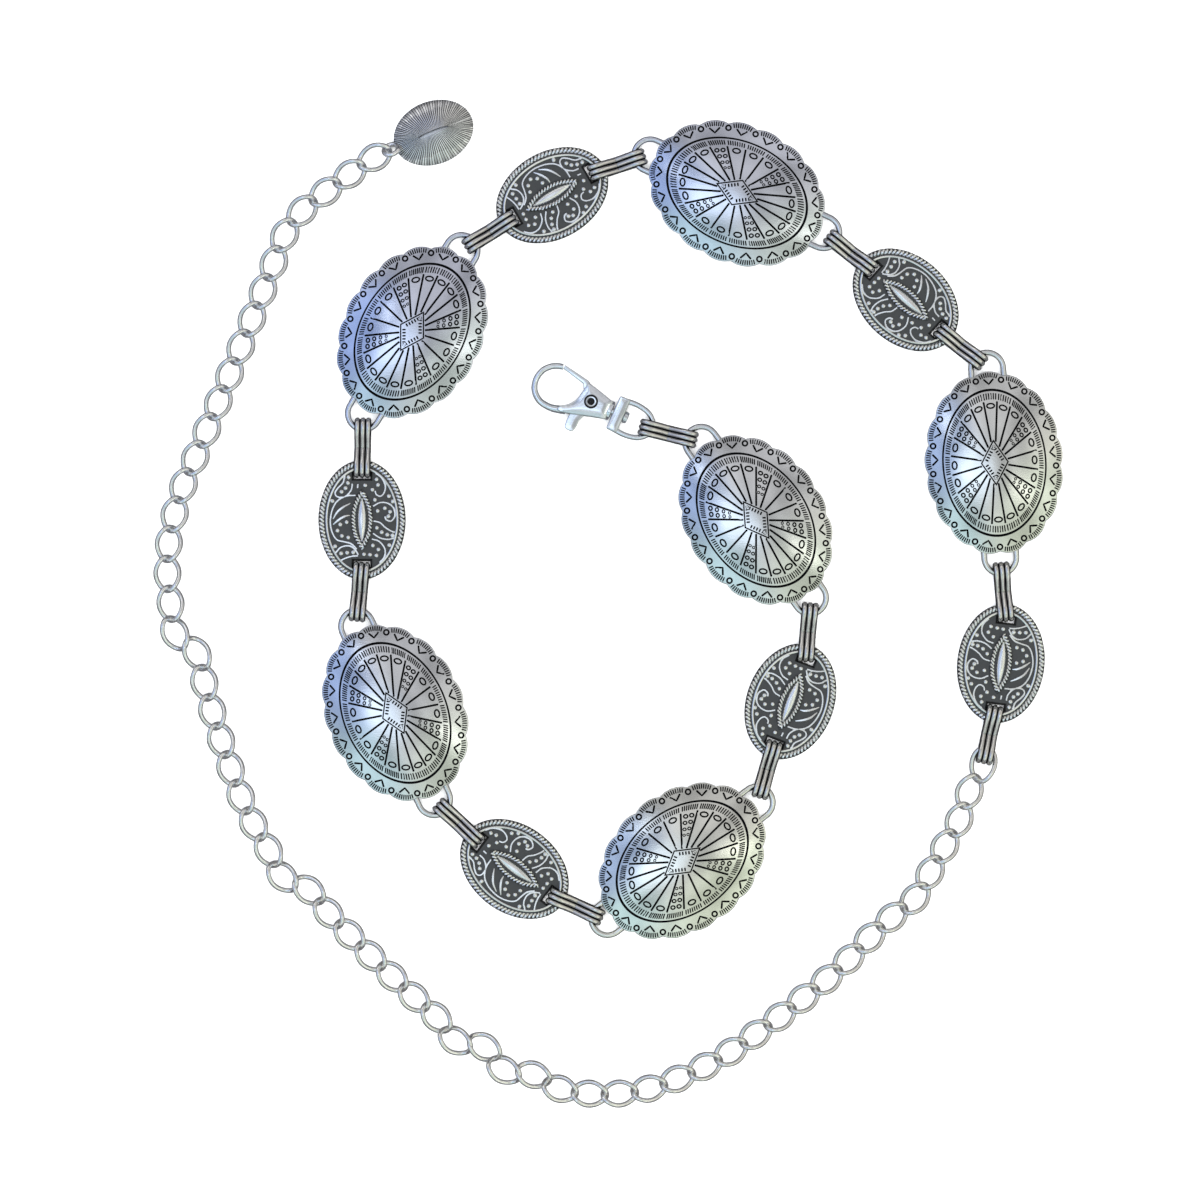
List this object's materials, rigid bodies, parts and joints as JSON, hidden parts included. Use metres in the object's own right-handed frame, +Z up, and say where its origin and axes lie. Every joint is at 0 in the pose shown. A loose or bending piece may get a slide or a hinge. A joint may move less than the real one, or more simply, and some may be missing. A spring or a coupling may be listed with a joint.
{
  "type": "chain belt",
  "caption": "Metal chain belt of large scalloped ovals and small rope-edged ovals on folded connectors, with a snap hook at one end and a link chain with an oval drop at the other.",
  "frame": {"origin": "on the surface that the belt lies on, under the middle of its overall length and width", "axes": "+Z up from that surface, +Y towards the top of the picture, +X to its right"},
  "size_m": [0.227, 0.2516, 0.0066],
  "materials": {
    "large_concho": "polished silver plate, stamped marks blackened",
    "small_concho": "bright raised relief on a blackened ground",
    "connector": "polished ridges with darkened grooves",
    "chain": "polished round wire, lightly darkened between links",
    "end_drop": "polished dome with fine blackened rays",
    "hook": "bright nickel plate"
  },
  "bodies": {
    "belt": {"concho_1": "large_concho", "concho_2": "large_concho", "concho_3": "large_concho", "concho_4": "large_concho", "concho_5": "large_concho", "concho_6": "large_concho", "small_concho_1": "small_concho", "small_concho_2": "small_concho", "small_concho_3": "small_concho", "small_concho_4": "small_concho", "small_concho_5": "small_concho", "small_concho_6": "small_concho", "connector_1": "connector", "connector_2": "connector", "connector_3": "connector", "connector_4": "connector", "connector_5": "connector", "connector_6": "connector", "connector_7": "connector", "connector_8": "connector", "connector_9": "connector", "connector_10": "connector", "connector_11": "connector", "connector_12": "connector", "connector_13": "connector", "chain": "chain", "end_drop": "end_drop", "swivel_eye": "hook"},
    "hook": {"hook_body": "hook"},
    "gate": {"gate": "hook"}
  },
  "joints": [
    {"name": "hook_swivel", "type": "hinge", "parent": "belt", "child": "hook", "pos_m": [0.00256, 0.04724, 0.00195], "axis": [0.9135, -0.4067, 0], "continuous": true},
    {"name": "gate_hinge", "type": "hinge", "parent": "hook", "child": "gate", "pos_m": [-0.00425, 0.05038, 0.00195], "axis": [0, 0, 1], "range_deg": [0, 28], "stiffness_Nm_per_rad": 0.001, "springref_deg": -17.19}
  ]
}
